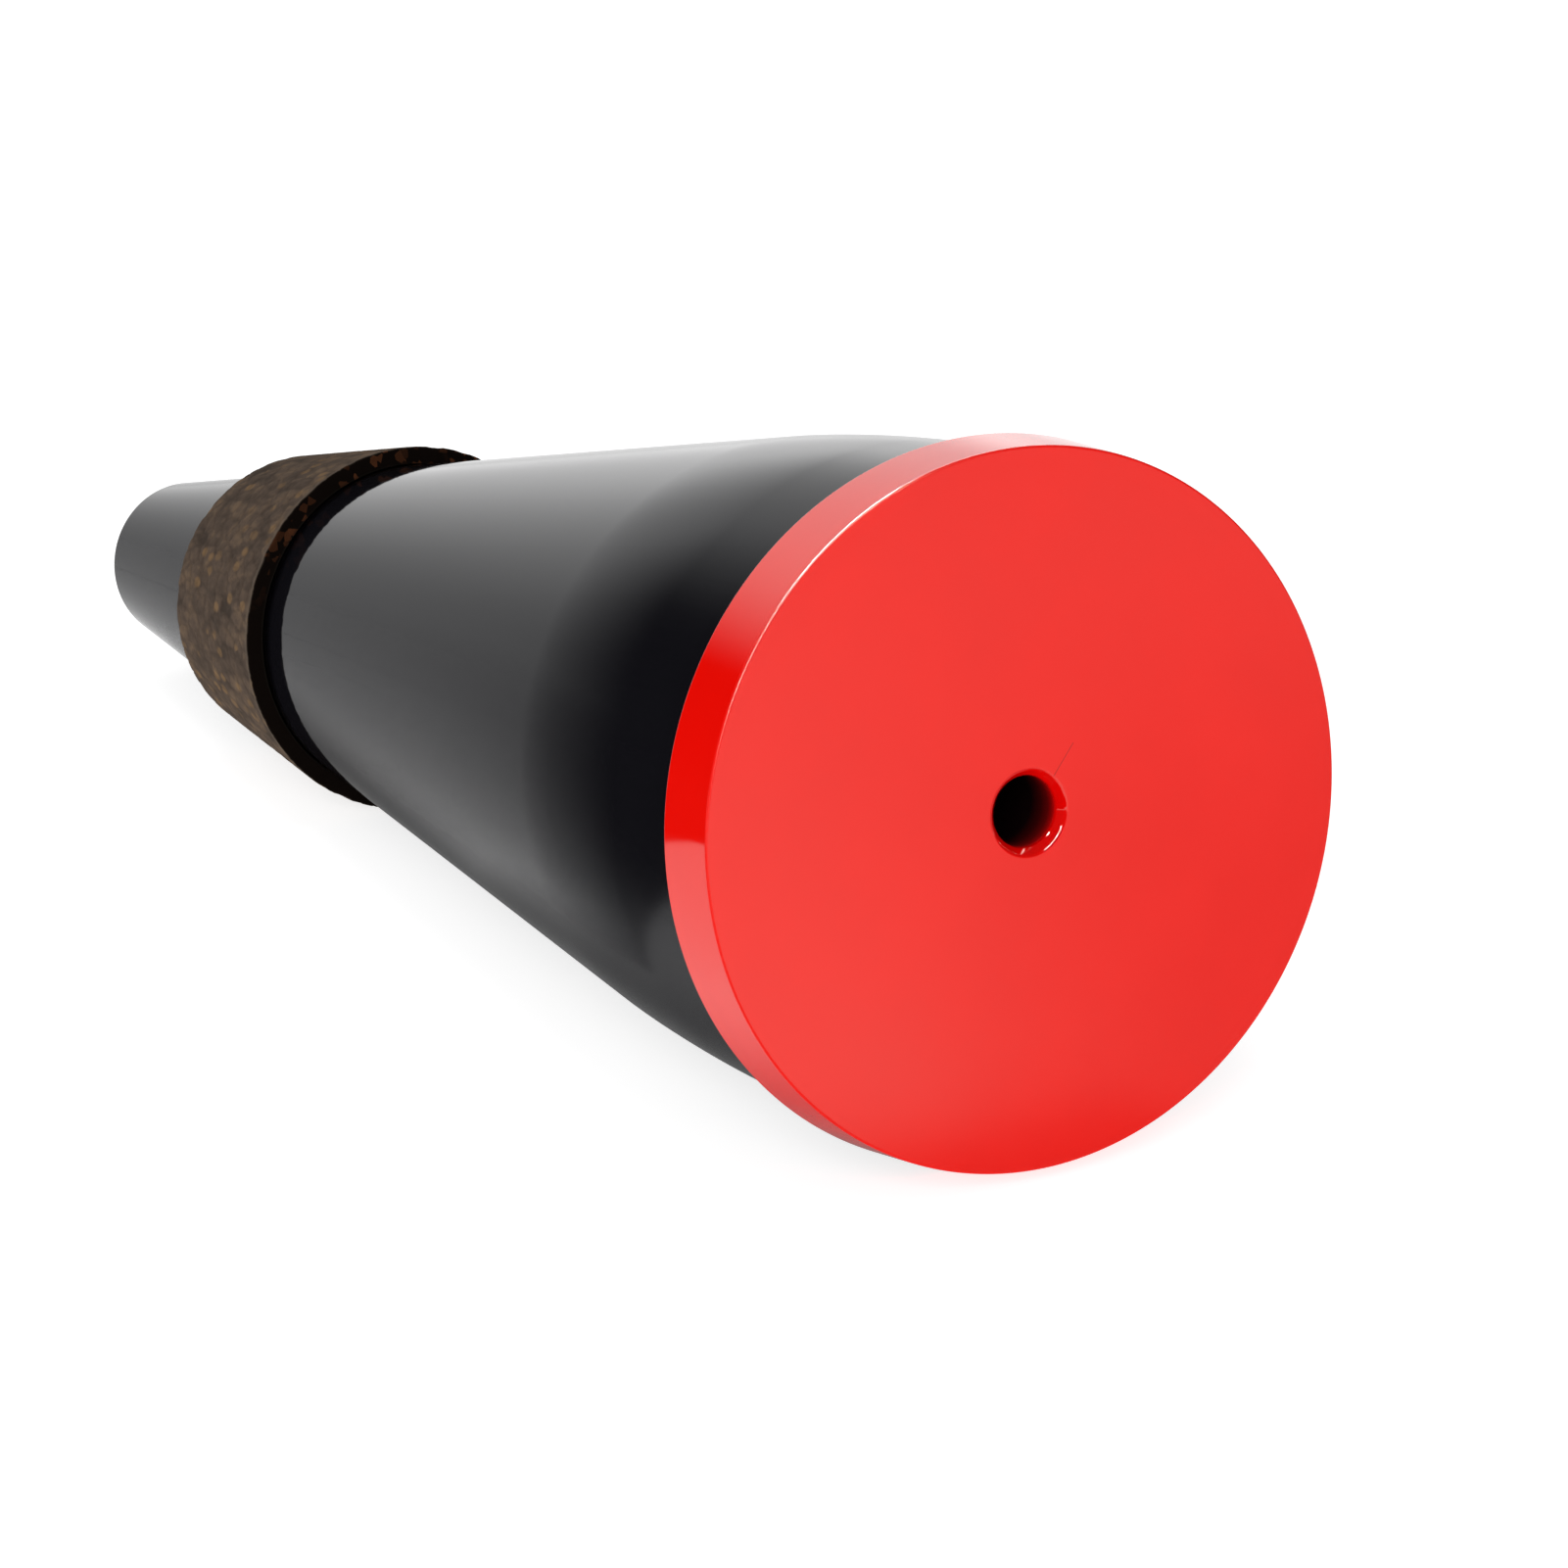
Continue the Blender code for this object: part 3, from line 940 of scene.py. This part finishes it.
paper("left_paper", on_table(LEFT_CORNERS, 1), left_cover)
paper("front_paper", on_table(FRONT_CORNERS, 1), front_cover)
paper("under_paper", on_table(UNDER_CORNERS, 2), under_cover)
paper("shade_paper", on_table(SHADE_CORNERS, 3), shade_cover)
paper("neck_paper", NECK_CORNERS, shade_cover)
paper("mouth_paper", on_table(MOUTH_CORNERS, 4), mouth_cover)

# %% [markdown]
# Behind the mute stands a curved backdrop that glows: a line spun part of the way round the table. It is
# bright behind, fades into the dark on the left, and ends softly at its top and its right. Its upper right
# glows most and shows in the black from the right side. Only gloss sees the backdrop, so the table's light
# stays even up to its foot and no line shows there.

# %% Backdrop glow
GLOW_LOW = 1.10
GLOW_HIGH = 1.50
GLOW_RISE = (0.0, 10.0)
GLOW_BOOST = 0.50
BOOST_SIDE = (-8.0, 14.0)
BOOST_TOP = (6.0, 18.0)
CORNER_SLANT = 0.5
CORNER_RISE = (35.0, 47.0)
CORNER_GLOW = 6.0
GLOW_TOP = (34.0, 48.0)
GLOW_LEFT = (25.0, 46.0)
GLOW_RIGHT = (-62.0, -18.0)

backdrop_light, tree, shader = finish("glowing_backdrop")
azimuth, elevation = sight_angles(tree)
glow = calc(tree, "MULTIPLY", soft_step(tree, elevation, *GLOW_RISE), GLOW_HIGH - GLOW_LOW)
glow = calc(tree, "ADD", glow, GLOW_LOW)
for share in (
    dark_share(tree, azimuth, elevation),
    soft_step(tree, elevation, *GLOW_TOP),
    soft_step(tree, azimuth, *GLOW_LEFT),
):
    glow = calc(tree, "MULTIPLY", glow, rest_of(tree, share))
glow = calc(tree, "MULTIPLY", glow, soft_step(tree, azimuth, *GLOW_RIGHT))
to_right = soft_step(tree, calc(tree, "MULTIPLY", azimuth, -1.0), *BOOST_SIDE)
low = rest_of(tree, soft_step(tree, elevation, *BOOST_TOP))
boost = calc(tree, "MULTIPLY", calc(tree, "MULTIPLY", to_right, low), GLOW_BOOST)
glow = calc(tree, "MULTIPLY", glow, calc(tree, "ADD", boost, 1.0))
to_corner = calc(tree, "SUBTRACT", elevation, calc(tree, "MULTIPLY", azimuth, CORNER_SLANT))
corner = calc(tree, "MULTIPLY", soft_step(tree, to_corner, *CORNER_RISE), CORNER_GLOW)
glow = calc(tree, "MULTIPLY", glow, calc(tree, "ADD", corner, 1.0))
shining = node(tree, "Emission", {"Strength": glow})
tree.links.new(shining.outputs["Emission"], tree.nodes["Material Output"].inputs["Surface"])
print("glow nodes:", len(tree.nodes))

# %% Backdrop
BACKDROP_CENTRE = (-0.045, -0.070, 0.0)
BACKDROP_RADIUS = 0.80
BACKDROP_HEIGHT = 1.10
BACKDROP_RIGHT = -80.0
BACKDROP_LEFT = 49.5
BACKDROP_STEPS = 48

backdrop_shape = bmesh.new()
foot = backdrop_shape.verts.new((0.0, BACKDROP_RADIUS, 0.0))
top = backdrop_shape.verts.new((0.0, BACKDROP_RADIUS, BACKDROP_HEIGHT))
upright = backdrop_shape.edges.new((foot, top))
bmesh.ops.rotate(
    backdrop_shape, verts=[foot, top], cent=(0, 0, 0),
    matrix=Matrix.Rotation(math.radians(BACKDROP_RIGHT), 3, "Z"),
)
bmesh.ops.spin(
    backdrop_shape, geom=[foot, top, upright], cent=(0, 0, 0), axis=(0, 0, 1),
    angle=math.radians(BACKDROP_LEFT - BACKDROP_RIGHT), steps=BACKDROP_STEPS,
)
bmesh.ops.translate(backdrop_shape, verts=backdrop_shape.verts, vec=BACKDROP_CENTRE)
backdrop = stage_piece(backdrop_shape, "backdrop", backdrop_light)
backdrop.visible_camera = False
backdrop.visible_diffuse = False
backdrop.visible_shadow = False
print("backdrop faces:", len(backdrop.data.polygons))

# %% [markdown]
# ## Soft studio light
#
# The lamps share the work. Two softboxes, one at the left front and a weaker one overhead, light the colours
# and stay out of the gloss. Two long thin strips draw fine white lines where the lid's edges are rounded.
# Three large softboxes, above and to both sides, lay a soft sheen on the black plastic, whose form would be
# lost without it. They hang high, because a low lamp seen over the mute would burn out its upper edge. Light
# linking keeps the strips on the lid and the sheen on the black pieces.

# %% Lamps
AIM = Vector((0.0, -0.10, 0.05))


def softbox(name, place, width, height, power, roll=0.0):
    """A rectangular area lamp that faces the mute and that the camera does not see."""
    data = bpy.data.lights.new(name, "AREA")
    data.shape = "RECTANGLE"
    data.size = width
    data.size_y = height
    data.energy = power
    lamp = bpy.data.objects.new(name, data)
    lamp.location = place
    facing = (AIM - Vector(place)).to_track_quat("-Z", "Y").to_matrix()
    lamp.rotation_euler = (facing @ Matrix.Rotation(roll, 3, "Z")).to_euler()
    lamp.visible_camera = False
    bpy.context.scene.collection.objects.link(lamp)
    print("softbox:", name, "radiance", round(power / (math.pi * width * height), 2))
    return lamp


def only_gloss_of(lamp, receivers):
    """The lamp adds no light to colours, and only the receivers mirror it."""
    lamp.visible_diffuse = False
    lamp.light_linking.receiver_collection = receivers


def receivers_of(name, pieces):
    """A collection for light linking, which is not itself part of the scene."""
    receivers = bpy.data.collections.new(name)
    for piece in pieces:
        receivers.objects.link(piece)
    return receivers


lid_edges = receivers_of("lid_edges", [lid_piece])
black_pieces = receivers_of("black_pieces", [shell_piece, tube_piece])

key = softbox("key_softbox", (-0.75, -1.05, 0.60), width=0.60, height=0.60, power=10.0)
overhead = softbox("overhead_softbox", (-0.20, 0.05, 1.30), width=0.45, height=0.45, power=2.5)
for lamp in (key, overhead):
    lamp.visible_glossy = False
front_strip = softbox(
    "front_strip", (-0.25, -1.07, 0.80), width=1.10, height=0.06, power=26.0, roll=math.radians(27.0),
)
top_strip = softbox("top_strip", (-0.25, 0.12, 1.00), width=1.20, height=0.12, power=58.0)
for strip in (front_strip, top_strip):
    only_gloss_of(strip, lid_edges)
top_sheen = softbox("top_sheen", (0.0, 0.0, 1.10), width=0.70, height=1.30, power=24.0)
right_sheen = softbox("right_sheen", (0.95, 0.10, 0.95), width=1.30, height=0.50, power=11.0)
left_sheen = softbox("left_sheen", (-0.90, -0.40, 0.95), width=1.20, height=0.50, power=10.0)
for sheen in (top_sheen, right_sheen, left_sheen):
    only_gloss_of(sheen, black_pieces)

# %% [markdown]
# An even bright world does much of the lighting and leaves hardly any shadow. Gloss sees only a little of
# it, as in a studio whose walls are dark, and the camera sees it white.

# %% World
WORLD_LIGHT = 0.48
WORLD_IN_GLOSS = 0.05
WORLD_SEEN = 1.0

world = bpy.data.worlds.new("white_room")
bpy.context.scene.world = world
world.use_nodes = True
tree = world.node_tree
ray = node(tree, "LightPath").outputs
in_gloss = calc(tree, "MULTIPLY", ray["Is Glossy Ray"], WORLD_IN_GLOSS - WORLD_LIGHT)
seen = calc(tree, "MULTIPLY", ray["Is Camera Ray"], WORLD_SEEN - WORLD_LIGHT)
strength = calc(tree, "ADD", calc(tree, "ADD", in_gloss, seen), WORLD_LIGHT)
background = tree.nodes["Background"]
background.inputs["Color"].default_value = (1.0, 1.0, 1.0, 1.0)
tree.links.new(strength, background.inputs["Strength"])
bpy.context.scene.view_settings.view_transform = "Standard"
print("world:", WORLD_LIGHT)

# %% [markdown]
# ## The camera
#
# The photograph was taken with a long lens, from the left front and a little above. The camera is held
# level, so it has no roll. Its place is worked out backwards: the middle of the picture lies a little to
# the left of the lid's centre, and the camera stands behind that point on its line of sight.

# %% Camera
CAMERA_AZIMUTH = math.radians(-30.06)
CAMERA_ELEVATION = math.radians(18.23)
CAMERA_DISTANCE = 0.8156
CAMERA_LENS = 137.1
SENSOR = 36.0
LID_RIGHT_OF_MIDDLE = 0.03347
LID_BELOW_MIDDLE = 0.00394

back = Vector((
    math.sin(CAMERA_AZIMUTH) * math.cos(CAMERA_ELEVATION),
    -math.cos(CAMERA_AZIMUTH) * math.cos(CAMERA_ELEVATION),
    math.sin(CAMERA_ELEVATION),
))
right = Vector((0.0, 0.0, 1.0)).cross(back).normalized()
up = back.cross(right)
aim = face_centre - right * LID_RIGHT_OF_MIDDLE + up * LID_BELOW_MIDDLE

camera_data = bpy.data.cameras.new("camera")
camera_data.lens = CAMERA_LENS
camera_data.sensor_width = SENSOR
camera = bpy.data.objects.new("camera", camera_data)
camera.location = aim + back * CAMERA_DISTANCE
camera.rotation_euler = Matrix((right, up, back)).transposed().to_euler()
bpy.context.scene.collection.objects.link(camera)
bpy.context.scene.camera = camera
print("camera:", [round(v, 4) for v in camera.location])

# %% [markdown]
# ## The end
#
# The dressed mute has to keep the solids' size. The script ends by updating the view layer.

# %% The end
bpy.context.view_layer.update()
